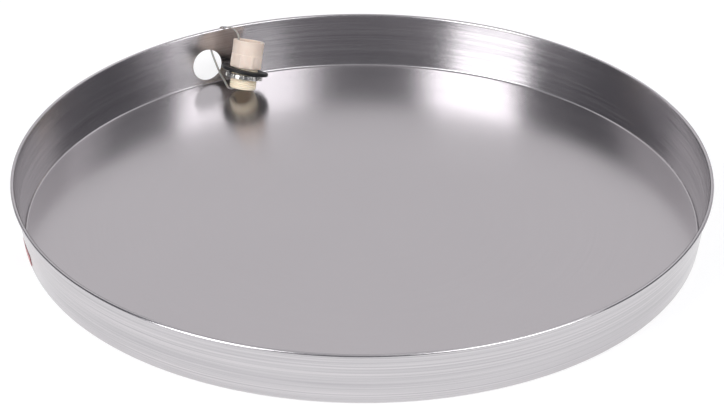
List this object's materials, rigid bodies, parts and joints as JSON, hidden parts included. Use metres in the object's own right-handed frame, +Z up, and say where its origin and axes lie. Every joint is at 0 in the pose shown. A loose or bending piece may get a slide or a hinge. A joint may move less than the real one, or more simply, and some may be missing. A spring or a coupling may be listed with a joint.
{
  "type": "drain pan",
  "caption": "Round shallow spun aluminium drain pan with a rolled rim and a side outlet hole, and its threaded adapter, gasket and locknut tied to the rim.",
  "frame": {"origin": "centre of the underside of the pan's floor, on the pan's axis", "axes": "+Z up along the pan's axis, +Y towards the outlet hole in the wall, +X to its right seen from the pan's centre"},
  "size_m": [0.774, 0.7755, 0.0703],
  "materials": {
    "spun_aluminium": "bare satin sheet with fine rings left by spinning",
    "moulded_cpvc": "beige moulded CPVC, slightly glossy",
    "epdm_rubber": "smooth black sheet rubber",
    "zinc_plated_steel": "bright zinc plate",
    "natural_nylon": "uncoloured translucent nylon",
    "coated_paper": "red printed film, blank"
  },
  "bodies": {
    "pan": {"pan_shell": "spun_aluminium", "cable_tie": "natural_nylon", "wall_label": "coated_paper"},
    "adapter": {"adapter_body": "moulded_cpvc"},
    "gasket": {"rubber_gasket": "epdm_rubber"},
    "locknut": {"locknut": "zinc_plated_steel"}
  },
  "joints": [
    {"name": "fitting_lift", "type": "hinge", "parent": "pan", "child": "adapter", "pos_m": [0.026, 0.384, 0.065], "axis": [-1, 0, 0], "range_deg": [0, 75], "deforming": ["cable_tie"]},
    {"name": "gasket_slide", "type": "slide", "parent": "adapter", "child": "gasket", "axis": [-0.2983, -0.2306, -0.9262], "range_m": [0, 0.0058]},
    {"name": "locknut_spin", "type": "hinge", "parent": "gasket", "child": "locknut", "pos_m": [0.02923, 0.33506, 0.02546], "axis": [-0.2983, -0.2306, -0.9262], "range_deg": [0, 945.6]}
  ],
  "couplings": [
    {"joint": "locknut_spin", "follows": "gasket_slide", "rad_per_m": 2844.4}
  ]
}
